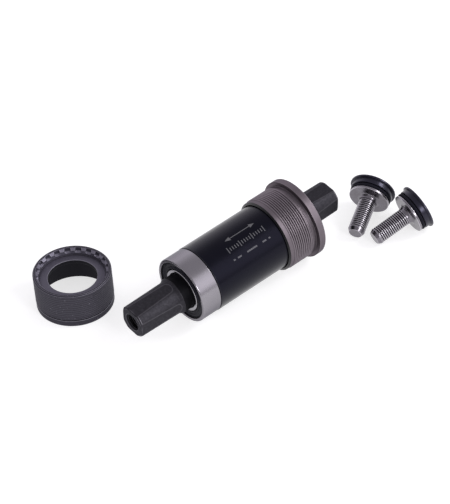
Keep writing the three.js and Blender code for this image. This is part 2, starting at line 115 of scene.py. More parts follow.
def span(node, axle):
    """Where a node starts and stops along an axis, and its least and greatest radius."""
    away = corners_of(node) - axle.start
    along = away @ axle.ahead
    radii = np.linalg.norm(away - along[:, None] * axle.ahead, axis=1)
    found = Span(along.min() / MM, along.max() / MM, radii.min() / MM, radii.max() / MM)
    print(f"{node:24s}", *(f"{name} {size:7.2f}" for name, size in found._asdict().items()))
    return found


spindle_axle = joint_axle("spindle_spin", "spindle")
cup_low, cup_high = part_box("left_cup")
cup_middle = (cup_low + cup_high) / 2
cup_axle = Axle((cup_middle.x, cup_middle.y, cup_low.z), (0, 0, 1), near=(0, 1, 0))
bolt_axles = {side: joint_axle(f"cap_{side}_spin", f"crank_bolt_{side}") for side in "ab"}
print("spindle axis", spindle_axle.ahead.round(4), "from", (spindle_axle.start / MM).round(2))

# %% [markdown]
# ## Outlines with real corners
# A turned piece is drawn as its half section: points of distance and radius. No machined
# edge is truly sharp, and it is the small roundings that catch the light. So the outline
# rounds every corner, by an amount of its own or by a common broken edge. A bevel
# modifier could do it later, but here the rounding is exact, and a supporting row on
# each side of it keeps the flat faces shading flat.

# %% Round an outline's corners
BROKEN_EDGE = 0.1  # rounding of a corner that has none of its own
ARC_STEP = math.radians(18)
HOLD = 0.07  # from a rounding to its supporting row


def rounded_corner(before, here, after, rounding):
    """An arc that touches both straights: its ends lie rounding / tan(half the angle) from
    the corner, limited to two fifths of each straight, and its points turn evenly from
    the first end to the other about the centre."""
    back, forth = before - here, after - here
    back_length, forth_length = np.linalg.norm(back), np.linalg.norm(forth)
    back, forth = back / back_length, forth / forth_length
    angle = math.acos(np.clip(back @ forth, -1, 1))
    reach = min(rounding / math.tan(angle / 2), 0.4 * back_length, 0.4 * forth_length)
    centre = here + unit(back + forth) * reach / math.cos(angle / 2)
    sweep = math.pi - angle
    share = np.linspace(0, 1, max(3, math.ceil(sweep / ARC_STEP) + 1))[:, None]
    begin, end = here + back * reach - centre, here + forth * reach - centre
    arc = (np.sin((1 - share) * sweep) * begin + np.sin(share * sweep) * end) / math.sin(sweep)
    first = here + back * min(reach + HOLD, 0.45 * back_length)
    last = here + forth * min(reach + HOLD, 0.45 * forth_length)
    return np.vstack([first, centre + arc, last])


def outline(*corners, closed=True):
    """Rows of distance and radius in millimetres, from corners of distance, radius and, if
    wanted, rounding. An outline that isn't closed starts and ends on the axis."""
    points = [np.array(corner[:2], float) for corner in corners]
    parts = []
    for k, corner in enumerate(corners):
        if not closed and k in (0, len(corners) - 1):
            parts.append(points[k][None])
        else:
            rounding = corner[2] if len(corner) > 2 else BROKEN_EDGE
            after = points[(k + 1) % len(corners)]
            parts.append(rounded_corner(points[k - 1], points[k], after, rounding))
    return np.vstack(parts)


print("a square washer's outline has", len(outline((0, 5), (0, 9), (1, 9), (1, 5))), "rows")

# %% [markdown]
# ## From an outline to a surface
# Carrying an outline round its axis gives a grid: row i is a point of the outline and
# column j is a turn about the axis. Blender's Screw modifier could do that, but it can't
# cut a thread, a spline or a square taper, because those change the radius with the
# turn. A grid worked out with numpy can: the radius is simply a function of both.
#
# Each point also gets two attributes for the materials to read. `lathe` is its place
# along and across the axis, in millimetres. `wear` is above 0 on a tight edge,
# which rubs bright, and below 0 in a tight hollow, which the finishes darken as painted
# shade.

# %% Carry an outline round an axis
COLUMNS = 224
BEND_START = 0.45  # bends gentler than this, in 1/mm, get no worn edge and no painted shade
BEND_FULL = 3.0

Surface = namedtuple("Surface", "points corners starts lathe wear")


def tightest_bend(points, normals, axis):
    """How tightly a grid bends along one of its axes, in 1/mm: the turn from one edge to
    the next, seen along the normal, over the mean of their lengths."""
    ahead = np.roll(points, -1, axis) - points
    behind = np.roll(ahead, 1, axis)
    long_ahead = np.linalg.norm(ahead, axis=2, keepdims=True) + 1e-9
    long_behind = np.linalg.norm(behind, axis=2, keepdims=True) + 1e-9
    turned = 2 * (behind / long_behind - ahead / long_ahead) / (long_ahead + long_behind)
    return (turned * normals).sum(2)


def wear_and_shade_of(points, closed):
    """From -1 in a tight hollow, which gets painted shade, through 0, to 1 on a tight edge, which rubs bright, for
    each grid point.
    """
    along = np.roll(points, -1, 0) - np.roll(points, 1, 0)
    around = np.roll(points, -1, 1) - np.roll(points, 1, 1)
    normals = np.cross(around, along)
    normals /= np.linalg.norm(normals, axis=2, keepdims=True) + 1e-12
    bends = np.stack([tightest_bend(points, normals, axis) for axis in (0, 1)])
    if not closed:
        bends[0, [0, -1]] = 0
    edge = np.clip((bends.max(0) - BEND_START) / (BEND_FULL - BEND_START), 0, 1)
    hollow = np.clip((-bends.min(0) - BEND_START) / (BEND_FULL - BEND_START), 0, 1)
    return edge - hollow


def skin(axle, rows, radii=None, turns=None, closed=True):
    """The surface at distance x ahead and radius r, turned by t: x ahead + r (cos t up -
    sin t side). rows are distances and radii. radii, where given, replaces the radii with
    a grid of rows by columns, and turns the even columns with angles of its own. The grid
    is taken in the order that makes its faces point outwards, and an outline that isn't
    closed gets a fan of triangles round each end point."""
    turns = np.arange(COLUMNS) * 2 * math.pi / COLUMNS if turns is None else turns
    radii = rows[:, 1][:, None] if radii is None else radii
    x, r, t = np.broadcast_arrays(rows[:, 0][:, None], radii, turns)
    mean = r.mean(1)
    area = (rows[:, 0] * np.roll(mean, -1) - np.roll(rows[:, 0], -1) * mean).sum()
    if area > 0:
        x, r, t = x[::-1], r[::-1], t[::-1]
    ends = (x[0, 0], x[-1, 0])
    if not closed:
        x, r, t = x[1:-1], r[1:-1], t[1:-1]
    across, height = -r * np.sin(t), r * np.cos(t)
    local = np.stack([x, across, height], 2)
    count, columns = x.shape
    wear = wear_and_shade_of(local, closed).ravel()
    i = np.arange(count if closed else count - 1)[:, None]
    j = np.arange(columns)[None, :]
    here, below = i * columns, (i + 1) % count * columns
    beside = (j + 1) % columns
    quads = np.stack([here + j, here + beside, below + beside, below + j], 2).reshape(-1, 4)
    corners = quads.ravel()
    starts = np.arange(len(quads)) * 4
    local = local.reshape(-1, 3)
    if not closed:
        j, beside, tip = j.ravel(), beside.ravel(), np.full(columns, len(local))
        base = (count - 1) * columns
        opening = np.stack([tip, beside, j], 1)
        closing = np.stack([tip + 1, base + j, base + beside], 1)
        starts = np.append(starts, len(corners) + np.arange(2 * columns) * 3)
        corners = np.concatenate([corners, opening.ravel(), closing.ravel()])
        local = np.vstack([local, [(end, 0, 0) for end in ends]])
        wear = np.append(wear, [0, 0])
    return Surface(axle.place(*local.T), corners, starts, local, wear)


def gathered(surfaces):
    """Several surfaces as one, with the corner numbers of each moved past those before."""
    points, corners, starts, lathe, wear = zip(*surfaces)
    points_before = np.cumsum([0] + [len(part) for part in points])
    corners_before = np.cumsum([0] + [len(part) for part in corners])
    corners = [part + n for part, n in zip(corners, points_before)]
    starts = [part + n for part, n in zip(starts, corners_before)]
    return Surface(*map(np.concatenate, (points, corners, starts, lathe, wear)))


# %% Make a piece of a surface, and hang it on the model
SHARP_ANGLE = math.radians(38)
made = {}


def piece(name, surface, nodes, finish):
    """A mesh object for a surface, with its attributes and material. It rides on the body
    of the nodes that it stands for."""
    mesh = bpy.data.meshes.new(name)
    mesh.vertices.add(len(surface.points))
    mesh.vertices.foreach_set("co", surface.points.astype(np.float32).ravel())
    mesh.loops.add(len(surface.corners))
    mesh.loops.foreach_set("vertex_index", surface.corners.astype(np.int32))
    mesh.polygons.add(len(surface.starts))
    mesh.polygons.foreach_set("loop_start", surface.starts.astype(np.int32))
    mesh.update(calc_edges=True)
    lathe = mesh.attributes.new("lathe", "FLOAT_VECTOR", "POINT")
    lathe.data.foreach_set("vector", surface.lathe.astype(np.float32).ravel())
    wear = mesh.attributes.new("wear", "FLOAT", "POINT")
    wear.data.foreach_set("value", surface.wear.astype(np.float32))
    mesh.shade_smooth()
    mesh.set_sharp_from_angle(angle=SHARP_ANGLE)
    mesh.materials.append(finish)
    thing = bpy.data.objects.new(name, mesh)
    bpy.context.scene.collection.objects.link(thing)
    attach(thing, body_of_node[nodes[0]])
    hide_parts(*nodes)
    made[name] = len(surface.corners) - 2 * len(surface.starts)
    print(f"{name:28s} {made[name]:7d} triangles on {body_of_node[nodes[0]]}")


# %% [markdown]
# ## Shader sums that read like sums
# A material's pattern is arithmetic: a noise times a mask, one minus the wear, and so
# on. Written as nodes and links that is long and hard to follow. A small class that
# wraps a socket lets Python's own operators add the Math nodes, and one method adds any
# other node from its settings and inputs.


# %% A socket that can be added and multiplied
class Amount:
    """A socket of a node tree. Sums of it add Math nodes to the tree."""

    def __init__(self, tree, socket):
        self.tree, self.socket = tree, socket

    def maths(self, operation, *others, clamp=False):
        """A Math node on this amount and any others."""
        settings = {"operation": operation, "use_clamp": clamp}
        return self.tree.node("ShaderNodeMath", settings, dict(enumerate((self, *others))))

    def __add__(self, other):
        return self.maths("ADD", other)

    def __sub__(self, other):
        return self.maths("SUBTRACT", other)

    def __mul__(self, other):
        return self.maths("MULTIPLY", other)

    def __rsub__(self, other):
        return self.maths("MULTIPLY_ADD", -1, other)

    __radd__, __rmul__ = __add__, __mul__

    def within(self, low, high):
        """0 up to low and 1 from high, along a straight between them."""
        rise = 1 / (high - low)
        return self.maths("MULTIPLY_ADD", rise, -low * rise, clamp=True)

    def between(self, low, high, soft):
        """1 from low to high, and 0 outside, with soft as the width of each side."""
        return self.within(low - soft, low) * (1 - self.within(high, high + soft))


class Tree:
    """The node tree of a material or of the world."""

    def __init__(self, owner):
        owner.use_nodes = True
        self.nodes, self.links = owner.node_tree.nodes, owner.node_tree.links
        self.nodes.clear()

    def node(self, kind, settings=None, inputs=None, output=0):
        """Adds a node, sets it, fills or links its inputs, and returns one of its outputs."""
        node = self.nodes.new(kind)
        for name, value in (settings or {}).items():
            setattr(node, name, value)
        for name, value in (inputs or {}).items():
            if isinstance(value, Amount):
                self.links.new(value.socket, node.inputs[name])
            else:
                node.inputs[name].default_value = value
        return Amount(self, node.outputs[output]) if node.outputs else None

    def attribute(self, name, output):
        return self.node("ShaderNodeAttribute", {"attribute_name": name}, output=output)

    def parts(self, vector):
        """The three numbers of a vector, each as an amount."""
        first = self.node("ShaderNodeSeparateXYZ", inputs={0: vector})
        return [Amount(self, output) for output in first.socket.node.outputs]

    def vector(self, x, y, z):
        return self.node("ShaderNodeCombineXYZ", inputs={0: x, 1: y, 2: z})

    def noise(self, place, scale, detail=3.0, roughness=0.55):
        """Noise from 0 to 1, with its middle at a half."""
        inputs = {"Vector": place, "Scale": scale, "Detail": detail, "Roughness": roughness}
        return self.node("ShaderNodeTexNoise", None, inputs, output="Fac")

    def mixed(self, share, low, high):
        """A colour between low and high."""
        inputs = {0: share, 6: colour(low), 7: colour(high)}
        return self.node("ShaderNodeMix", {"data_type": "RGBA"}, inputs, output=2)

    def shown(self, kind, inputs, output="ShaderNodeOutputMaterial"):
        """Adds a shader and joins it to the tree's output."""
        self.node(output, None, {"Surface": self.node(kind, None, inputs)})

    def layered(self, base, *layers):
        """A base colour under layers, each a share and a colour."""
        for share, over in layers:
            base = self.mixed(share, base, over)
        return base


def colour(value):
    """A colour socket as it is, or red, green and blue with a full alpha."""
    return value if isinstance(value, Amount) else (*value, 1.0)


# %% [markdown]
# ## What the finishes share
# Seen close, no metal part is one colour. Turning leaves fine rings round the axis,
# handling leaves faint patches and scratches, and edges rub lighter; tight hollows are
# darkened with painted shade. Each of these could be painted in an image, but worked out
# from the `lathe` and `wear` attributes they follow every edge of the real
# shape, at any size. The rings come from noise that changes fast along the piece and
# slowly across it, so they have no seam.


# %% The marks that machining and handling leave, and painted shade in hollows
class Finish(Tree):
    """A material being made, with the marks that any turned piece can carry, and its tight hollows, which get
    painted shade.
    """

    def __init__(self, name):
        self.material = bpy.data.materials.new(name)
        super().__init__(self.material)
        self.lathe = self.attribute("lathe", "Vector")
        self.x, self.y, self.z = self.parts(self.lathe)
        self.radius = (self.y * self.y + self.z * self.z).maths("SQRT")
        wear = self.attribute("wear", "Fac")
        self.edge = wear.within(0.1, 0.9)
        # hollow: the tight hollows, which the finishes darken as painted shade
        self.hollow = (0 - wear).within(0.1, 0.9)

    def rings(self, per_mm, drift=0.08):
        """Noise with per_mm changes a millimetre along the outline, and few across it."""
        along = (self.x + 0.7 * self.radius) * per_mm
        return self.noise(self.vector(along, self.y * drift, self.z * drift), 1.0, 2.0)

    def patches(self, size_mm):
        """Broad soft noise whose patches are about size_mm across."""
        return self.noise(self.lathe, 1 / size_mm, 4.0, 0.6)

    def scratches(self, length_mm, share):
        """Thin marks along the piece, over a share of it from 0 to 1."""
        place = self.vector(self.x * (1 / length_mm), self.y * 2.2, self.z * 2.2)
        return self.noise(place, 1.0, 5.0, 0.7).within(1 - share, 1.06 - share)

    def done(self, base, roughness, metallic, bumps, depth_mm, **constants):
        """Joins the sums to a Principled shader. bumps is a height from 0 to 1, and
        depth_mm is how deep it stands; constants are the shader's other sockets."""
        bump = {"Strength": 1.0, "Distance": depth_mm * MM, "Height": bumps}
        inputs = {"Base Color": base, "Roughness": roughness, "Metallic": metallic}
        inputs["Normal"] = self.node("ShaderNodeBump", None, bump)
        inputs.update({name.replace("_", " "): value for name, value in constants.items()})
        self.shown("ShaderNodeBsdfPrincipled", inputs)
        return self.material


# %% [markdown]
# ## The metals
# The spindle is hardened steel blacked in a hot bath, so it is almost black and only
# half shiny. The drive cup is bare machined steel, the left cup has a dark coating, and
# the bearing rings are ground until they mirror soft bands of light. The bolts are zinc
# plated. All five are the same few marks in different shares, so each finish is one
# short function that says only what sets it apart.

# %% The metal finishes
# Used steel mirrors less at a glance than clean metal would, which this tint stands for.
GLANCING = (0.5, 0.5, 0.52, 1)


def blacked_steel(journal_from, journal_to, corner_r, corner_rise):
    """Black oxide: dark, slightly violet, scuffed paler on its edges. On the ground journals,
    between two distances along the spindle, it is painted near black as shade beside the
    bearings, and its tight hollows and tapped holes are darkened as painted shade. The flats
    meet the corners at a radius that rises with the distance from the nearer end, and are
    rubbed pale there."""
    finish = Finish("blacked_steel")
    patches, rings = finish.patches(5.0), finish.rings(5.0)
    scuffs = finish.scratches(9.0, 0.3) * patches.within(0.42, 0.7)
    cloud = finish.noise(finish.lathe, 0.9, 5.0, 0.7).within(0.38, 0.68)
    ahead = finish.x.maths("MINIMUM", journal_from + journal_to - finish.x)
    rim = (finish.radius - ahead * corner_rise - corner_r).between(-0.2, -0.08, 0.05)
    # the inside of the tapped hole, which gets painted shade
    in_hole = 1 - finish.radius.within(3.9, 4.3)
    base = finish.layered(
        finish.mixed(cloud, (0.027, 0.026, 0.031), (0.045, 0.043, 0.051)),
        (finish.edge * 0.75 + scuffs * 0.3, (0.27, 0.26, 0.29)),
        (rim * 0.2, (0.22, 0.21, 0.235)),
        # Painted shade: the journals near black, then tight hollows and the tapped holes darker.
        (finish.x.between(journal_from, journal_to, 0.5) * 0.85, (0.003, 0.003, 0.004)),
        (finish.hollow * 0.8, (0.004, 0.004, 0.005)),
        (in_hole * 0.75, (0.004, 0.004, 0.005)),
    )
    roughness = 0.36 + 0.16 * patches + 0.06 * rings
    bumps = 0.7 * rings + 0.3 * scuffs
    return finish.done(base, roughness, 0.8, bumps, 0.012, Specular_Tint=GLANCING)


def coated_steel(web, face, root_r):
    """The left cup's thick grey coating, slightly violet: half metal and half paint. It is
    rubbed pale on edges and specked by chips. The web, the teeth and their ledges, and the
    groove walls are painted paler as the light that those faces catch, the bore under the
    web is painted near black as shade, and tight hollows are darkened as painted shade."""
    finish = Finish("coated_steel")
    patches, rings = finish.patches(7.0), finish.rings(7.0)
    chips = finish.noise(finish.lathe, 1.9, 2.0, 0.4).within(0.70, 0.74)
    radius = finish.radius
    on_web = finish.x.between(web - 0.05, web + 0.3, 0.05)
    past_face = finish.x.within(face - 0.3, face - 0.2)
    in_recess = finish.x.within(web + 0.35, web + 0.6) * (1 - past_face)
    in_bore = (1 - finish.x.within(web - 0.4, web - 0.1)) * (
        1 - radius.within(root_r + 0.2, root_r + 0.5)
    )
    base = finish.layered(
        finish.mixed(0.5 * rings + 0.5 * patches, (0.025, 0.023, 0.032), (0.043, 0.040, 0.054)),
        # Painted light: the web, the teeth and ledges, and the groove walls are made paler as lit faces.
        (on_web * (1 - radius.within(root_r - 1, root_r)) * 0.8, (0.125, 0.118, 0.152)),
        (in_recess * radius.between(root_r - 1.1, root_r - 0.06, 0.04) * 0.8, (0.20, 0.19, 0.24)),
        (in_recess * radius.between(root_r - 0.04, root_r + 0.1, 0.02) * 0.7, (0.11, 0.105, 0.135)),
        (finish.edge * 0.6 + chips * 0.5, (0.32, 0.31, 0.36)),
        # Painted shade: tight hollows, and the bore under the web, are darkened.
        (finish.hollow * 0.5, (0.010, 0.009, 0.012)),
        (in_bore * 0.9, (0.006, 0.0055, 0.009)),
    )
    roughness = 0.36 + 0.14 * patches + 0.08 * rings + 0.1 * finish.hollow
    bumps = 0.7 * rings + 0.3 * finish.noise(finish.lathe, 6.0)
    return finish.done(base, roughness, 0.6, bumps, 0.012, Specular_Tint=GLANCING)


def ground_steel(name, dark, light):
    """Bearing steel, ground and polished: a near mirror with the finest of rings, and painted shade in its tight
    hollows.
    """
    finish = Finish(name)
    patches, rings = finish.patches(11.0), finish.rings(16.0, 0.03)
    base = finish.mixed(patches, dark, light)
    # Painted shade: tight hollows are darkened.
    base = finish.layered(base, (finish.hollow * 0.9, (0.05, 0.048, 0.05)))
    roughness = 0.15 + 0.08 * rings + 0.06 * patches
    return finish.done(base, roughness, 1.0, rings, 0.003, Specular_Tint=GLANCING)


def plated_steel(thread_from, thread_to, thread_r):
    """Bright zinc over steel: smooth and pale, with painted shade in the roots of the thread,
    which runs between two distances and stands to a radius, and in tight hollows."""
    finish = Finish("plated_steel")
    patches, rings = finish.patches(4.0), finish.rings(9.0)
    on_thread = finish.x.between(thread_from, thread_to, 0.2)
    # the roots of the thread, which get painted shade
    roots = on_thread * (1 - finish.radius.within(thread_r - 0.35, thread_r))
    base = finish.layered(
        finish.mixed(patches, (0.145, 0.134, 0.144), (0.24, 0.228, 0.26)),
        (finish.edge * 0.75, (0.56, 0.54, 0.58)),
        # Painted shade: tight hollows, and the roots of the thread, are darkened.
        (finish.hollow * 0.4, (0.03, 0.027, 0.031)),
        (roots * 0.7, (0.03, 0.027, 0.033)),
    )
    return finish.done(base, 0.17 + 0.10 * patches + 0.06 * rings, 1.0, rings, 0.004)


def drive_cup_steel(painted_to, flange_at, flange_r):
    """Turned steel, with the sleeve's black paint on its mouth, up to a distance, a thin line
    of painted shade round the near edge of its flange, and painted shade in tight hollows."""
    finish = Finish("drive_cup_steel")
    patches, rings = finish.patches(7.0), finish.rings(6.0)
    # A thin line of painted shade round the near edge of the flange.
    flange_shade = finish.x.between(flange_at - 0.02, flange_at + 0.14, 0.06)
    flange_shade = flange_shade * finish.radius.within(flange_r - 0.4, flange_r - 0.3)
    paint = 1 - finish.x.within(painted_to - 0.03, painted_to)
    base = finish.layered(
        finish.mixed(0.6 * rings + 0.4 * patches, (0.122, 0.104, 0.117), (0.205, 0.178, 0.199)),
        (finish.edge * 0.45, (0.34, 0.30, 0.33)),
        # Painted shade: tight hollows, and the line at the flange, are darkened.
        (finish.hollow * 0.7, (0.03, 0.026, 0.028)),
        (flange_shade * 0.8, (0.012, 0.010, 0.011)),
        (paint, (0.006, 0.006, 0.007)),
    )
    roughness = 0.33 + 0.14 * patches + 0.08 * rings - 0.1 * paint
    bumps = 0.8 * rings + 0.2 * patches
    return finish.done(base, roughness, 1 - paint, bumps, 0.010, Specular_Tint=GLANCING)


# %% [markdown]
# ## Paint, rubber and plastics
# These are not metals, so their colour is their own and their shine is a clear layer on
# top. The sleeve's paint is glossy with a slight ripple. The seals are dull rubber, the
# ball cages pale nylon, and the dust caps moulded plastic with a fine grain.
#
# The real sleeve carries a print. Here it is only generic gauge marks: a dimension line
# with two arrowheads, a row of scale strokes, and a row of dashes. They are sums of the
# distance along the sleeve and the distance round it, so no picture is needed.


# %% The gauge marks
def arrow_line(along, across, first, last, row):
    """A thin line with a solid arrowhead at each end. A head is as wide as the distance
    from its tip times its slope, as far as its length."""
    head, slope, line = 2.9, 0.36, 0.16
    to_tip = (last - first) / 2 - (along - (first + last) / 2).maths("ABSOLUTE")
    off = (across - row).maths("ABSOLUTE")
    heads = (to_tip * slope - off).within(0, 0.06) * (1 - to_tip.within(head - 0.05, head))
    return heads + (1 - off.within(line, line + 0.06)) * to_tip.within(head, head + 0.1)


def scale_strokes(along, across, first, last, row):
    """Strokes a little over a millimetre apart, every fifth one taller."""
    step, width, short, tall = 1.3, 0.24, 1.7, 3.0
    count = round((last - first) / step)
    number = (along - first) * (count / (last - first)) + 0.5
    stroke = number.maths("FRACT").between(0.5 - width / 2, 0.5 + width / 2, 0.06)
    fifth = 1 - number.maths("FLOOR").maths("MODULO", 5.0).within(0, 0.5)
    half = short / 2 + (tall - short) / 2 * fifth
    off = (across - row).maths("ABSOLUTE")
    return stroke * (half - off).within(0, 0.08) * along.between(first - 0.5, last + 0.5, 0.05)


def dashes(along, across, first, last, row):
    """Five dashes, the middle one long, on one line."""
    height, marks = 0.62, 0
    for place, size in ((0, 5.6), (-7.0, 2.0), (7.0, 2.0), (-9.9, 0.9), (9.9, 0.9)):
        low = (first + last) / 2 + place - size / 2
        marks = along.between(low, low + size, 0.06) + marks
    return marks * across.between(row - height / 2, row + height / 2, 0.06)


# %% The other finishes
# Carbon black leaves a mirror image on rubber and plastic dim and slightly blue.
SOOTY = (0.75, 0.72, 1.0, 1)
GLOSSY = {"IOR": 1.36, "Specular_Tint": (0.4, 0.4, 0.6, 1)}


def sleeve_paint(first, last, radius):
    """Gloss black with grey gauge marks between two distances along the sleeve."""
    finish = Finish("sleeve_paint")
    patches = finish.patches(9.0)
    round_it = (0 - finish.y).maths("ARCTAN2", finish.z) * radius
    inset = 0.08 * (last - first)
    marks = arrow_line(finish.x, round_it, first + inset, last - inset, 3.4)
    marks = marks + scale_strokes(finish.x, round_it, first, last, 7.9)
    marks = marks + dashes(finish.x, round_it, first, last, 12.8)
    flecks = 0.45 + 0.55 * finish.noise(finish.lathe, 6.0, 4.0).within(0.30, 0.55)
    ink = marks.maths("MINIMUM", 1.0) * finish.radius.within(radius - 0.2, radius - 0.1) * flecks
    base = finish.layered(
        finish.mixed(patches, (0.0012, 0.0012, 0.0026), (0.0028, 0.0028, 0.0048)),
        (ink, (0.125, 0.125, 0.13)),
        (finish.edge * 0.4, (0.04, 0.04, 0.045)),
    )
    ripple = finish.noise(finish.lathe, 0.8, 2.0)
    roughness = 0.17 + 0.10 * patches + 0.25 * ink
    return finish.done(base, roughness, 0.0, ripple, 0.006, **GLOSSY)


def black_rubber(name, bloom, dullness):
    """Dull rubber: a dusty bloom on the ridges, and a faint grain."""
    finish = Finish(name)
    dust, grain = finish.patches(3.0), finish.noise(finish.lathe, 7.0, 4.0)
    base = finish.mixed(dust, (0.003, 0.003, 0.005), (0.008, 0.008, 0.012))
    base = finish.layered(base, (finish.edge * bloom, (0.03, 0.03, 0.034)))
    roughness = dullness + 0.15 * dust
    return finish.done(base, roughness, 0.0, grain, 0.02, IOR=1.3, Specular_Tint=SOOTY)


def moulded_plastic(name, dark, light, shine):
    """Moulded plastic: nearly even, with flow marks and a fine grain."""
    finish = Finish(name)
    flow, grain = finish.patches(6.0), finish.noise(finish.lathe, 5.0, 3.0)
    base = finish.mixed(flow, dark, light)
    base = finish.layered(base, (finish.edge * 0.35, tuple(3 * part for part in light)))
    return finish.done(base, shine + 0.12 * flow, 0.0, grain, 0.006, Specular_Tint=SOOTY)


def cage_nylon():
    """Off-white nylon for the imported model's own cages, which have no lathe attribute, so
    its pattern is in the object's own coordinates, in metres."""
    finish = Finish("cage_nylon")
    place = finish.node("ShaderNodeTexCoord", output="Object")
    cloud, grain = finish.noise(place, 260.0), finish.noise(place, 1800.0)
    base = finish.mixed(cloud, (0.34, 0.31, 0.25), (0.52, 0.49, 0.42))
    return finish.done(base, 0.45 + 0.15 * cloud, 0.0, grain, 0.01)


nylon = cage_nylon()
print("nodes in the nylon's tree:", len(nylon.node_tree.nodes))

# %% [markdown]
# ## The spindle
# The spindle is one bar with three shapes along it: a tapered square at each end for the
# cranks, a round journal in each bearing, and a thicker shoulder between them. The
# square's corners are left from the round bar, so a section there is whichever is less:
# the bar's radius, or the distance to the nearest flat, which is h / cos(angle from the
# flat's middle). The edge between them moves as the taper deepens, and fixed columns
# would saw across it, so each row spreads its columns anew over flat and corner. The
# flats end in the arc that their grinding wheel left. Each end is drilled and tapped.

# %% Spindle sizes
spindle = span("spindle", spindle_axle)
left_race = span("left_outer_race", spindle_axle)
right_race = span("right_outer_race", spindle_axle)
inner_race = span("left_inner_race", spindle_axle)
sleeve = span("cartridge_shell", spindle_axle)

JOURNAL_R = 8.5
CORNER_R = 7.4  # the square's corners at the end face
CORNER_SLOPE = math.radians(0.9)
FLAT_HALF = 6.4  # from the axis to a flat at the end face
FLAT_SLOPE = math.radians(2)
FLAT_LENGTH = 19.5
RUNOUT = 3.2
CORNER_RUN = 1.8  # of the corners, past the flats' straight length
SPINDLE_CLOCK = math.radians(7.65)
END_CHAMFER = 0.7
TAPPED_MOUTH_R = 4.25
BOLT_PITCH = 1.0
HOLE_CREST_R = 3.46
HOLE_THREAD_DEPTH = 0.5
HOLE_DEPTH = 24
SPINDLE_LENGTH = spindle.stop
SQUARED_TO = FLAT_LENGTH + 3.4  # where the wheel's arc has left the bar round again
TAPPED_TO = 11.5  # of the thread that can be seen in each hole
WHEEL_R = 4.6
END_LIP, END_LIP_LENGTH = 0.35, 0.5  # how far the flats drop at the end face, and over what
SOFT_EDGE = 0.09  # the blend between a flat and a corner


def wave(x, turns, pitch, hand=1):
    """A thread's depth from 0 on its crest to 1 in its root: half of 1 - cos of the phase,
    squared, which leaves wide crests over narrow roots. The phase is x / pitch - hand
    turns / 2 pi, so it winds once in each pitch."""
    phase = 2 * math.pi * x / pitch - hand * turns
    return (0.5 - 0.5 * np.cos(phase)) ** 2


def combed(rows, radius, low, high, step):
    """An outline with extra rows, step apart, on its longest straight at a radius, between
    the distances low and high."""
    x, r = rows.T
    level = (np.abs(r - radius) < 1e-6) & (np.abs(np.roll(r, -1) - radius) < 1e-6)
    k = int(np.argmax(np.abs(np.roll(x, -1) - x) * level))
    near, far = sorted((x[k], x[k + 1]))
    extra = np.arange(max(low, near + step / 2), min(high, far - step / 2), step)
    extra = extra if x[k] < x[k + 1] else extra[::-1]
    added = np.stack([extra, np.full(len(extra), radius)], 1)
    return np.vstack([rows[: k + 1], added, rows[k + 1 :]])


def faded(x, low, high, fade):
    """1 from low to high, falling smoothly to 0 over fade inside each of them."""
    share = np.clip(np.minimum(x - low, high - x) / fade, 0, 1)
    return share * share * (3 - 2 * share)


# %% Turn, square and tap the spindle
def from_end(x):
    """The distance to the nearer end of the spindle."""
    return np.minimum(x, SPINDLE_LENGTH - x)


def flat_distance(x):
    """How far a flat lies from the axis: a straight taper, then the wheel's arc."""
    depth = from_end(x)
    past = np.clip(depth - FLAT_LENGTH, 0, WHEEL_R * 0.98)
    lip = END_LIP * np.clip(1 - depth / END_LIP_LENGTH, 0, 1)
    taper = FLAT_HALF + np.tan(FLAT_SLOPE) * np.minimum(depth, FLAT_LENGTH)
    return taper - lip + WHEEL_R - np.sqrt(WHEEL_R**2 - past**2)


def half_spindle():
    """The outline of the left half, from the bottom of the tapped hole to the middle."""
    corner_stop = FLAT_LENGTH + CORNER_RUN
    return outline(
        (HOLE_DEPTH + 2, 0),
        (HOLE_DEPTH, HOLE_CREST_R),
        (0.8, HOLE_CREST_R),
        (0, TAPPED_MOUTH_R, 0.15),
        (0, CORNER_R - END_CHAMFER, 0.2),
        (END_CHAMFER, CORNER_R, 0.3),
        (corner_stop, CORNER_R + math.tan(CORNER_SLOPE) * corner_stop, 0.5),
        (FLAT_LENGTH + RUNOUT, JOURNAL_R, 0.6),
        (sleeve.start, JOURNAL_R, 0.4),
        (sleeve.start, spindle.outer, 0.3),
        (SPINDLE_LENGTH / 2, spindle.outer),
        closed=False,
    )


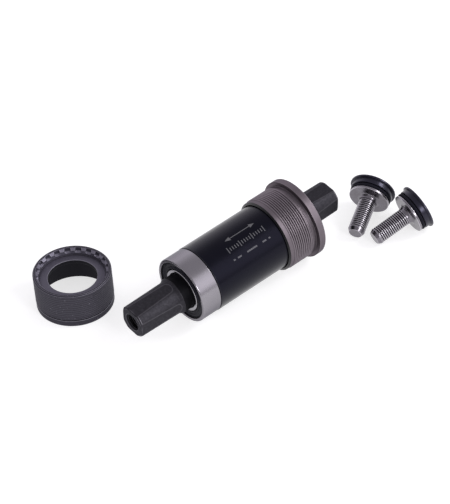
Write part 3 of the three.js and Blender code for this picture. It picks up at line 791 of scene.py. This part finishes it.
def spindle_surface():
    """Both halves as one outline, squared where the flats are and tapped in both holes."""
    left = combed(half_spindle(), HOLE_CREST_R, 1.0, TAPPED_TO, BOLT_PITCH / 10)
    x, r = left.T
    on_flat = (r > TAPPED_MOUTH_R + 0.5) & (x < SQUARED_TO)
    first, last = np.flatnonzero(on_flat)[[0, -1]]
    even = np.concatenate([np.linspace(2, 18, 9), np.linspace(18.5, SQUARED_TO, 22)])
    old = left[first : last + 1]
    kept = old[old[:, 0] < 1.6]
    spread = np.stack([even, np.interp(even, *old.T)], 1)
    left = np.vstack([left[:first], kept, spread, left[last + 1 :]])[:-1]
    rows = np.vstack([left, left[::-1] * [-1, 1] + [SPINDLE_LENGTH, 0]])
    x, r = rows[:, :1], rows[:, 1:]
    flat = flat_distance(x)
    edge = np.arccos(np.clip(flat / np.maximum(r, 1), 0, np.cos(0.2)))
    across = np.array([-1, -0.97, -0.9, -0.7, -0.4, 0, 0.4, 0.7, 0.9, 0.97, 1])
    over = np.array([0.05, 0.15, 0.32, 0.5, 0.68, 0.85, 0.95])
    from_middle = np.hstack([edge * across, edge + (math.pi / 2 - 2 * edge) * over])
    quarters = np.arange(4)[None, :, None] * math.pi / 2
    turns = (from_middle[:, None, :] + quarters).reshape(len(rows), -1) + SPINDLE_CLOCK
    to_flat = flat / np.cos(np.tile(from_middle, 4))
    nearer = -SOFT_EDGE * np.logaddexp(-r / SOFT_EDGE, -to_flat / SOFT_EDGE)
    outer = r > TAPPED_MOUTH_R + 0.2
    squared = np.where(outer & (from_end(x) < SQUARED_TO), nearer, r)
    in_hole = faded(from_end(x), 0.9, TAPPED_TO, 1.2) * (r < HOLE_CREST_R + 0.01)
    radii = squared + HOLE_THREAD_DEPTH * in_hole * wave(x, turns, BOLT_PITCH)
    return skin(spindle_axle, rows, radii, turns, closed=False)


# where the painted shade on the journals starts
journal_start = FLAT_LENGTH + RUNOUT + 0.2
corner_rise = math.tan(CORNER_SLOPE)
blacked = blacked_steel(journal_start, SPINDLE_LENGTH - journal_start, CORNER_R, corner_rise)
piece("spindle_turned", spindle_surface(), ["spindle"], blacked)

# %% [markdown]
# ## The bearings
# Each bearing is a pair of ground rings with eleven balls rolling in grooves between
# them, a nylon cage that keeps the balls apart, and a rubber seal on each side. One set
# of outlines draws the left bearing from its outer face inwards. The right bearing is
# the same set turned end for end, counted back from its own outer face. The grooves are
# arcs a little wider than the balls, as real ones are.

# %% Bearing sizes, from the model's own rings and seals
seal = span("left_outboard_seal", spindle_axle)
first_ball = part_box("left_ball_01")
BALL_R = (first_ball[1].x - first_ball[0].x) / 2 / MM
RACE_WIDTH = left_race.stop - left_race.start
RACE_BORE_R = left_race.inner
BALL_PITCH_R = (inner_race.outer + RACE_BORE_R) / 2
GROOVE_R = BALL_R + 0.06
SPIGOT_LENGTH = 3.6
SPIGOT_R = left_race.outer - 1.02
print(f"ball radius {BALL_R:.2f}, pitch radius {BALL_PITCH_R:.2f}, ring width {RACE_WIDTH:.2f}")


def groove(bore, side):
    """The arc of a ball groove, from the inner face to the outer one: the circle of
    GROOVE_R round a ball's centre, where it passes a radius. side is 1 for a groove cut
    outwards, and -1 for one cut inwards."""
    half = math.acos(np.clip(side * (bore - BALL_PITCH_R) / GROOVE_R, -1, 1))
    swing = np.linspace(half, -half, 13)
    x = RACE_WIDTH / 2 + GROOVE_R * np.sin(swing)
    return np.stack([x, BALL_PITCH_R + side * GROOVE_R * np.cos(swing)], 1)


def with_groove(rows, radius, side):
    """An outline with a ball groove put into its straight at a radius."""
    arc = groove(radius, side)
    x, r = rows.T
    level = (np.abs(r - radius) < 0.02) & (np.abs(np.roll(r, -1) - radius) < 0.02)
    wide = np.abs(np.roll(x, -1) - x) > GROOVE_R
    k = int(np.flatnonzero(level & wide)[0])
    arc = arc if x[k] > x[(k + 1) % len(x)] else arc[::-1]
    return np.vstack([rows[: k + 1], arc, rows[k + 1 :]])


# %% Rings, seals and balls
def outer_ring():
    """A ring with rounded shoulders, and a reduced spigot that sits in the sleeve."""
    step = RACE_WIDTH - SPIGOT_LENGTH
    rows = outline(
        (0, RACE_BORE_R + 0.02, 0.3),
        (0, left_race.outer, 0.75),
        (step, left_race.outer, 0.12),
        (step, SPIGOT_R, 0.1),
        (RACE_WIDTH, SPIGOT_R, 0.15),
        (RACE_WIDTH, RACE_BORE_R, 0.15),
        (0.3, RACE_BORE_R, 0.1),
    )
    return with_groove(rows, RACE_BORE_R, 1)


def inner_ring():
    """A plain ring pressed on the journal, set back a little from the outer ring."""
    start, stop = inner_race.start - left_race.start, inner_race.stop - left_race.start
    rows = outline(
        (start, inner_race.inner, 0.3),
        (start, inner_race.outer, 0.25),
        (stop, inner_race.outer, 0.25),
        (stop, inner_race.inner, 0.3),
    )
    return with_groove(rows, inner_race.outer, -1)


def seal_ring():
    """A rubber shield: a bead at its rim, a flat with a step, and a thin raised lip."""
    front, back = seal.start - left_race.start, seal.stop - left_race.start
    middle = (seal.inner + seal.outer) / 2
    return outline(
        (front + 0.45, seal.inner, 0.1),
        (front + 0.05, seal.inner + 0.35, 0.15),
        (front + 0.1, seal.inner + 0.8, 0.15),
        (front + 0.5, seal.inner + 1.1, 0.15),
        (front + 0.35, middle, 0.1),
        (front + 0.15, middle + 0.25, 0.1),
        (front + 0.15, seal.outer - 0.75, 0.1),
        (front + 0.5, seal.outer - 0.55, 0.1),
        (front + 0.5, seal.outer - 0.3, 0.1),
        (front, seal.outer, 0.12),
        (back, seal.outer, 0.15),
        (back, seal.inner, 0.15),
    )


def ball(node):
    """A sphere: x = -R cos(a) and r = R sin(a) round an axis through a ball's centre."""
    share = np.linspace(0, math.pi, 15)
    rows = BALL_R * np.stack([-np.cos(share), np.sin(share)], 1)
    rows[[0, -1], 1] = 0
    turns = np.arange(24) * 2 * math.pi / 24
    axle = Axle(np.mean(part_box(node), 0), spindle_axle.ahead)
    return skin(axle, rows, None, turns, closed=False)


ground = ground_steel("ground_steel", (0.245, 0.234, 0.256), (0.305, 0.293, 0.317))
bright = ground_steel("bright_steel", (0.38, 0.37, 0.395), (0.48, 0.47, 0.50))
rubber = black_rubber("shield_rubber", 0.5, 0.5)
parts = {
    "outer_ring": (outer_ring(), "outer_race", "polished_steel", ground),
    "inner_ring": (inner_ring(), "inner_race", "polished_steel", bright),
    "outer_shield": (seal_ring(), "outboard_seal", "black_rubber", rubber),
    "inner_shield": (
        seal_ring() * [-1, 1] + [RACE_WIDTH, 0], "inboard_seal", "black_rubber", rubber
    ),
}
for side, face, inwards in (("left", left_race.start, 1), ("right", right_race.stop, -1)):
    for name, (rows, node, slot, finish) in parts.items():
        surface = skin(spindle_axle, rows * [inwards, 1] + [face, 0])
        piece(f"{side}_{name}", surface, [f"{side}_{node}"], finish)
    nodes = sorted(node for node in frame["nodes"] if node.startswith(f"{side}_ball_"))
    balls = gathered([ball(node) for node in nodes])
    piece(f"{side}_balls", balls, nodes, bright)
    cage = frame["nodes"][f"{side}_cage"]
    cage.data.materials.clear()
    cage.data.materials.append(nylon)

# %% [markdown]
# ## The sleeve
# The sleeve is a plain painted tube that joins the two bearings and keeps water out. Its
# only shape is its rounded ends. What makes it read as real is the paint: one long soft
# highlight, the depth of the black, and the printed marks.

# %% Roll the sleeve
MARKS_FROM, MARKS_TO = 12.3, 32.2  # from the sleeve's left end
sleeve_rows = outline(
    (sleeve.start, sleeve.inner, 0.1),
    (sleeve.start, sleeve.outer, 0.3),
    (sleeve.stop, sleeve.outer, 0.3),
    (sleeve.stop, sleeve.inner, 0.1),
)
paint = sleeve_paint(sleeve.start + MARKS_FROM, sleeve.start + MARKS_TO, sleeve.outer)
piece("sleeve_painted", skin(spindle_axle, sleeve_rows), ["cartridge_shell"], paint)

# %% [markdown]
# ## The two cups
# Both cups screw into the frame with the same fine thread and take the same
# twenty-splined tool, so the same functions cut both, and only the outside differs: the
# drive cup has a flange, the left cup a plain band. The thread is a true helix, left-
# handed on the drive side and right-handed on the other, so that riding loosens
# neither. Each spline groove stops in a sloped ledge where its cutter ran out, and each
# tooth's top is bevelled to guide the tool in. The columns are set at the edges of the
# teeth, so their sides come out crisp.

# %% Splines and cup outlines
CUP_PITCH = 25.4 / 24
DRIVE_THREAD_DEPTH = 0.5
LEFT_THREAD_DEPTH = 0.09  # seen through its thick coating
THREAD_R = 17.4
RELIEF_R = 16.75
CUP_BORE_R = 15.95
SPLINES = 20
SPLINE_RISE = 1.0
SPLINE_TIP_R = 15.0
SPLINE_ROOT_R = SPLINE_TIP_R + SPLINE_RISE
SPLINE_BEVEL = 1.0
LIP_CHAMFER = 0.2
CREST_HALF = 0.18  # half a tooth's top, as a share of a pitch
ROOT_HALF = 0.26
LEDGE_SLOPE = 0.6
LEDGE_HEIGHT = 0.95  # of a ledge's low edge over the web
GROOVE_END_R = 0.9  # the rounding of a groove's end
GROOVE_END_SHARE = 0.7

one_tooth = np.concatenate([
    np.linspace(-CREST_HALF, CREST_HALF, 6),
    [(CREST_HALF + ROOT_HALF) / 2],
    np.linspace(ROOT_HALF, 1 - ROOT_HALF, 7),
    [1 - (CREST_HALF + ROOT_HALF) / 2],
])
places = (np.arange(SPLINES)[:, None] + one_tooth).ravel()
nearest_tooth = np.round(places)
from_tooth = np.abs(places - nearest_tooth)


def tooth_turns(x, face, ledge, toothed):
    """Each column's turn, in rows where the teeth are. A tooth is as wide as its root at the
    lip, and narrows down its bevel by the slope of its flanks. Near the ledge it widens
    again by a quarter circle, 1 - root(1 - u squared), because the groove's end is round."""
    bevel = np.clip((face - LIP_CHAMFER - x) / SPLINE_BEVEL, 0.1, 1)
    u = np.clip((ledge + GROOVE_END_R - x) / GROOVE_END_R, 0, 1)
    closing = GROOVE_END_SHARE * (0.5 - ROOT_HALF) * (1 - np.sqrt(1 - u * u))
    root = np.where(toothed, ROOT_HALF + closing, ROOT_HALF)
    crest = np.where(toothed, root - (ROOT_HALF - CREST_HALF) * bevel, CREST_HALF)
    on_top = from_tooth / CREST_HALF * crest
    on_flank = crest + (from_tooth - CREST_HALF) / (ROOT_HALF - CREST_HALF) * (root - crest)
    in_groove = root + (from_tooth - ROOT_HALF) / (0.5 - ROOT_HALF) * (0.5 - root)
    spread = np.where(from_tooth <= ROOT_HALF, on_flank, in_groove)
    spread = np.where(from_tooth <= CREST_HALF, on_top, spread)
    return (nearest_tooth + np.sign(places - nearest_tooth) * spread) * 2 * math.pi / SPLINES


def recess(face, web, thickness, hole, mouth):
    """The inside of a cup, from the rim of its outer face down the tool's recess, over the
    web to the hole, and back along the bore to the mouth."""
    ledge = web + LEDGE_HEIGHT
    return [
        (face, SPLINE_ROOT_R + LIP_CHAMFER, 0.05),
        (face - LIP_CHAMFER, SPLINE_ROOT_R, 0.05),
        (ledge + LEDGE_SLOPE, SPLINE_ROOT_R, 0.06),
        (ledge, SPLINE_TIP_R, 0.06),
        (web - 0.1, SPLINE_TIP_R, 0.3),
        (web + 0.1, hole, 0.15),
        (web - thickness, hole, 0.15),
        (web - thickness, CUP_BORE_R, 0.4),
        (mouth, CUP_BORE_R, 0.2),
    ]


def cup_surface(axle, rows, low, high, hand, depth, face, web, clock=0.0):
    """A cup with its thread cut between low and high and its teeth raised in the recess. A
    tooth stands out by the bevel's ramp near the lip, and else as far as the tip radius."""
    ledge = web + LEDGE_HEIGHT
    rows = combed(rows, THREAD_R, low, high, CUP_PITCH / 11)
    rows = combed(rows, SPLINE_ROOT_R, ledge + LEDGE_SLOPE, face - LIP_CHAMFER, 0.12)
    x, r = rows[:, :1], rows[:, 1:]
    toothed = (x > ledge - 0.01) & (x < face - 0.01) & (r < SPLINE_ROOT_R + 0.19)
    turns = tooth_turns(x, face, ledge, toothed) + clock
    on_thread = (np.abs(r - THREAD_R) < 1e-6) & (x > low) & (x < high)
    cut = depth * faded(x, low, high, 0.7 * CUP_PITCH) * on_thread
    ramp = np.clip((face - LIP_CHAMFER - x) / SPLINE_BEVEL, 0, 1) * SPLINE_RISE
    raised = np.minimum(ramp, np.clip(r - SPLINE_TIP_R, 0, None)) * toothed
    tooth = np.clip((ROOT_HALF - from_tooth) / (ROOT_HALF - CREST_HALF), 0, 1)
    radii = r - cut * wave(x, turns, CUP_PITCH, hand) - raised * tooth
    return skin(axle, rows, radii, turns)


# %% Cut the drive cup
drive = span("drive_cup", spindle_axle)
LEAD_IN, LEAD_IN_R = 2.5, 17.1
FLANGE_WIDTH = 3.5
RELIEF_WIDTH = 2.5
SOCKET_DEPTH, WEB, HOLE_R = 4.6, 2.1, 12.0
MOUTH_BEVEL = 0.5
flange = drive.stop - FLANGE_WIDTH
thread_end = flange - RELIEF_WIDTH
thread_start = drive.start + LEAD_IN
web_face = drive.stop - SOCKET_DEPTH
drive_rows = outline(
    (drive.start, CUP_BORE_R + 0.1, 0.05),
    (drive.start + MOUTH_BEVEL, LEAD_IN_R, 0.1),
    (thread_start, LEAD_IN_R, 0.1),
    (thread_start + 0.3, THREAD_R, 0.1),
    (thread_end, THREAD_R, 0.15),
    (thread_end + 0.35, RELIEF_R, 0.3),
    (flange, RELIEF_R, 0.45),
    (flange, drive.outer, 0.3),
    (drive.stop, drive.outer, 0.4),
    *recess(drive.stop, web_face, WEB, HOLE_R, drive.start + 0.15),
)
drive_steel = drive_cup_steel(drive.start + MOUTH_BEVEL + 0.08, flange, drive.outer)
drive_surface = cup_surface(
    spindle_axle, drive_rows, thread_start + 0.4, thread_end - 0.15, -1, DRIVE_THREAD_DEPTH,
    drive.stop, web_face,
)
piece("drive_cup_threaded", drive_surface, ["drive_cup"], drive_steel)

# %% Cut the left cup
cup = span("left_cup", cup_axle)
BAND, BAND_R = 3.0, 17.3
GROOVE_WIDTH = 0.8
TOP_CHAMFER = 0.5
LEFT_SOCKET_DEPTH, LEFT_WEB, LEFT_HOLE_R = 3.4, 1.8, 11.0
CUP_CLOCK = math.radians(15.6)
left_web = cup.stop - LEFT_SOCKET_DEPTH
left_rows = outline(
    (0, CUP_BORE_R + 0.3, 0.1),
    (0, BAND_R, 0.45),
    (BAND, BAND_R, 0.15),
    (BAND, RELIEF_R, 0.1),
    (BAND + GROOVE_WIDTH, RELIEF_R, 0.1),
    (BAND + GROOVE_WIDTH, THREAD_R, 0.1),
    (cup.stop - TOP_CHAMFER, THREAD_R, 0.1),
    (cup.stop, THREAD_R - TOP_CHAMFER, 0.08),
    *recess(cup.stop, left_web, LEFT_WEB, LEFT_HOLE_R, 0.3),
)
coated = coated_steel(left_web, cup.stop, SPLINE_ROOT_R)
left_surface = cup_surface(
    cup_axle, left_rows, BAND + GROOVE_WIDTH + 0.15, cup.stop - TOP_CHAMFER - 0.15, 1,
    LEFT_THREAD_DEPTH, cup.stop, left_web, CUP_CLOCK,
)
piece("left_cup_threaded", left_surface, ["left_cup"], coated)

# %% [markdown]
# ## Crank bolts and dust caps
# Each bolt is cold headed, so its shank runs into the thin flange through a fillet. Its
# head hides inside a plastic dust cap, which turns freely on it, with a rubber ring
# between them. The hex socket is the polygon's own formula: half its width across the
# flats over cos(angle from the nearest flat), where that is less than the round mouth.

# %% Bolt sizes
bolt = span("crank_bolt_a", bolt_axles["a"])
ring = span("seal_ring_a", bolt_axles["a"])
cap = span("dust_cap_a", bolt_axles["a"])
BOLT_R = 3.9
BOLT_TIP_R = 3.0
BOLT_TIP_LENGTH = 1.7  # of the long chamfer that leads the bolt in
BOLT_LENGTH = 19.0
BOLT_NECK = 1.7
FLANGE_THICKNESS = 1.1
HEAD_R = 6.6
HEX_HALF = 4.0
HEX_DEPTH = 5.0
BOLT_THREAD_DEPTH = 0.5
CAP_RIM = 1.1
CAP_RIM_HEIGHT = 0.95
BOLT_COLUMNS = 96


def bolt_surface(axle):
    """A bolt from its tip, through thread, flange and head, to the bottom of its socket."""
    corner = HEX_HALF / math.cos(math.pi / 6)
    floor = bolt.stop - HEX_DEPTH
    rows = outline(
        (0, 0),
        (0, BOLT_TIP_R, 0.2),
        (BOLT_TIP_LENGTH, BOLT_R, 0.25),
        (BOLT_LENGTH, BOLT_R, BOLT_NECK),
        (BOLT_LENGTH, bolt.outer, 0.2),
        (BOLT_LENGTH + FLANGE_THICKNESS, bolt.outer, 0.3),
        (BOLT_LENGTH + FLANGE_THICKNESS, HEAD_R, 0.3),
        (bolt.stop, HEAD_R, 0.5),
        (bolt.stop, corner + 0.25, 0.1),
        (bolt.stop - 0.3, corner, 0.1),
        (floor, corner, 0.05),
        (floor, HEX_HALF - 0.4, 0.05),
        (floor - 1.0, 0),
        closed=False,
    )
    low, high = BOLT_TIP_LENGTH + 0.15, BOLT_LENGTH - BOLT_NECK - 0.4
    rows = combed(rows, BOLT_R, low, high, BOLT_PITCH / 10)
    turns = np.arange(BOLT_COLUMNS) * 2 * math.pi / BOLT_COLUMNS
    x, r = rows[:, :1], rows[:, 1:]
    from_flat = (turns + math.pi / 6) % (math.pi / 3) - math.pi / 6
    in_socket = (x > floor - 0.01) & (x < bolt.stop - 0.2) & (r < corner + 0.1)
    radii = np.where(in_socket, np.minimum(r, HEX_HALF / np.cos(from_flat)), r)
    on_shank = (np.abs(r - BOLT_R) < 1e-6) & (x >= low) & (x <= high)
    cut = BOLT_THREAD_DEPTH * faded(x, low - 0.2, high, 0.8) * on_shank
    return skin(axle, rows, radii - cut * wave(x, turns, BOLT_PITCH), turns, closed=False)


def cap_rows():
    """A dust cap: a short wall, a rim that stands proud, and a step in its outer face."""
    rim = cap.stop - CAP_RIM
    wall = cap.outer - CAP_RIM_HEIGHT
    return outline(
        (cap.start, cap.inner, 0.3),
        (cap.start, wall, 0.4),
        (rim, wall, 0.2),
        (rim, cap.outer, 0.35),
        (cap.stop, cap.outer, 0.45),
        (cap.stop, cap.outer - 1.2, 0.15),
        (cap.stop - 0.25, cap.outer - 1.35, 0.15),
        (cap.stop - 0.25, cap.inner + 0.9, 0.15),
        (cap.stop, cap.inner + 0.75, 0.15),
        (cap.stop, cap.inner, 0.25),
    )


def ring_rows():
    """A round rubber ring: x = c + s cos(a) and r = R + s sin(a)."""
    section = (ring.stop - ring.start) / 2
    share = np.linspace(0, 2 * math.pi, 20, endpoint=False)
    centre = ((ring.start + ring.stop) / 2, ring.outer - section)
    return centre + section * np.stack([np.cos(share), np.sin(share)], 1)


# %% Make both bolts
plated = plated_steel(BOLT_TIP_LENGTH, BOLT_LENGTH - BOLT_NECK, BOLT_R - 0.02)
ring_rubber = black_rubber("ring_rubber", 0.0, 0.75)
plastic = moulded_plastic("cap_plastic", (0.003, 0.003, 0.005), (0.006, 0.006, 0.009), 0.24)
for side, axle in bolt_axles.items():
    piece(f"bolt_{side}", bolt_surface(axle), [f"crank_bolt_{side}"], plated)
    ring_skin, cap_skin = skin(axle, ring_rows()), skin(axle, cap_rows())
    piece(f"ring_{side}", ring_skin, [f"seal_ring_{side}"], ring_rubber)
    piece(f"cap_{side}", cap_skin, [f"dust_cap_{side}"], plastic)
print("triangles in all:", sum(made.values()))

# %% [markdown]
# ## Table, light and camera
# The pieces lie on a plain pale table. Shiny metal shows its surroundings more than its
# own colour, so the light matters as much as the finishes: a bright wall behind, which
# gives the sleeve its long highlight, a soft glow in front for the rings, and two
# panels, which put the small sharp highlights on bolts, caps and threads. The
# surroundings are sums of the direction that a ray looks in, so they cast no shadows.

# %% The table
TABLE_HALF = 3.0
TABLE_DROP = 0.00003


def table():
    """A square sheet just under the pieces, in a pale matt finish that glows, as a light
    table does, so that shadows on it stay faint."""
    mesh = bpy.data.meshes.new("table")
    signs = ((-1, -1), (1, -1), (1, 1), (-1, 1))
    corners = [(x * TABLE_HALF, y * TABLE_HALF, -TABLE_DROP) for x, y in signs]
    mesh.from_pydata(corners, [], [(0, 1, 2, 3)])
    thing = bpy.data.objects.new("table", mesh)
    bpy.context.scene.collection.objects.link(thing)
    material = bpy.data.materials.new("pale_table")
    inputs = {"Base Color": (0.5, 0.5, 0.505, 1), "Roughness": 0.9, "Specular IOR Level": 0.2}
    inputs.update({"Emission Color": (1, 1, 1, 1), "Emission Strength": 0.68})
    Tree(material).shown("ShaderNodeBsdfPrincipled", inputs)
    mesh.materials.append(material)
    return thing


table()


# %% The surroundings and the lamps
def toward(azimuth, elevation):
    """The unit vector that looks along an azimuth, where 0 is +Y and 90 is +X."""
    a, e = math.radians(azimuth), math.radians(elevation)
    return Vector((math.sin(a) * math.cos(e), math.cos(a) * math.cos(e), math.sin(e)))


def surroundings():
    """A room: a base, plus a glow on the wall behind that fades towards the ceiling, plus a
    soft glow high in front, less a dark band low in front. Each glow rises with the cosine
    of the angle between the look and its middle."""
    world = bpy.data.worlds.new("room")
    bpy.context.scene.world = world
    tree = Tree(world)
    look = tree.node("ShaderNodeTexCoord", output="Generated")
    settings = {"operation": "DOT_PRODUCT"}
    wall, front = (
        tree.node("ShaderNodeVectorMath", settings, {0: look, 1: middle}, output="Value")
        for middle in (toward(20, 8), toward(150, 27))
    )
    up = tree.parts(look)[2]
    behind = wall.within(0.2, 0.8) * (1 - up.within(0.5, 0.85))
    band = (1 - wall.within(-0.5, 0.0)) * (1 - up.within(0.05, 0.16))
    bright = 0.56 + 0.50 * behind + 1.0 * front.within(0.86, 0.985) - 0.26 * band
    inputs = {"Color": (1, 0.965, 1.03, 1), "Strength": bright}
    tree.shown("ShaderNodeBackground", inputs, "ShaderNodeOutputWorld")


def panel(name, azimuth, elevation, size, radiance):
    """A square soft light that faces the middle of the table. A lamp of power P and area A
    glows with P / (pi A), so P is worked out from the glow wanted."""
    lamp = bpy.data.lights.new(name, "AREA")
    lamp.shape, lamp.size = "SQUARE", size
    lamp.energy = radiance * math.pi * size * size
    aimed(bpy.data.objects.new(name, lamp), Vector(), azimuth, elevation, PANEL_AWAY)


def aimed(thing, middle, azimuth, elevation, away, roll=0.0):
    """Links a lamp or camera, some way from a middle that it looks at."""
    thing.location = middle + toward(azimuth, elevation) * away
    thing.rotation_mode = "QUATERNION"
    facing = (middle - thing.location).to_track_quat("-Z", "Y")
    thing.rotation_quaternion = facing @ Quaternion((0, 0, 1), math.radians(roll))
    bpy.context.scene.collection.objects.link(thing)


PANEL_AWAY = 1.5
surroundings()
panel("near_panel", 181, 27, 0.36, 15.0)
panel("far_panel", 123, 40, 0.40, 12.0)

# %% The camera
CAMERA_AIM = Vector((3.41, 9.36, 0)) * MM
CAMERA_AZIMUTH, CAMERA_ELEVATION, CAMERA_AWAY = 216.746, 40.262, 1.14974
CAMERA_ROLL = -4.556
FOCAL_LENGTH, SENSOR = 182.77, 36

lens = bpy.data.cameras.new("camera")
lens.lens, lens.sensor_width = FOCAL_LENGTH, SENSOR
lens.clip_start, lens.clip_end = 0.05, 20
camera = bpy.data.objects.new("camera", lens)
aimed(camera, CAMERA_AIM, CAMERA_AZIMUTH, CAMERA_ELEVATION, CAMERA_AWAY, CAMERA_ROLL)
bpy.context.scene.camera = camera
bpy.context.scene.view_settings.view_transform = "Standard"
print("camera at", [round(c / MM, 1) for c in camera.location])
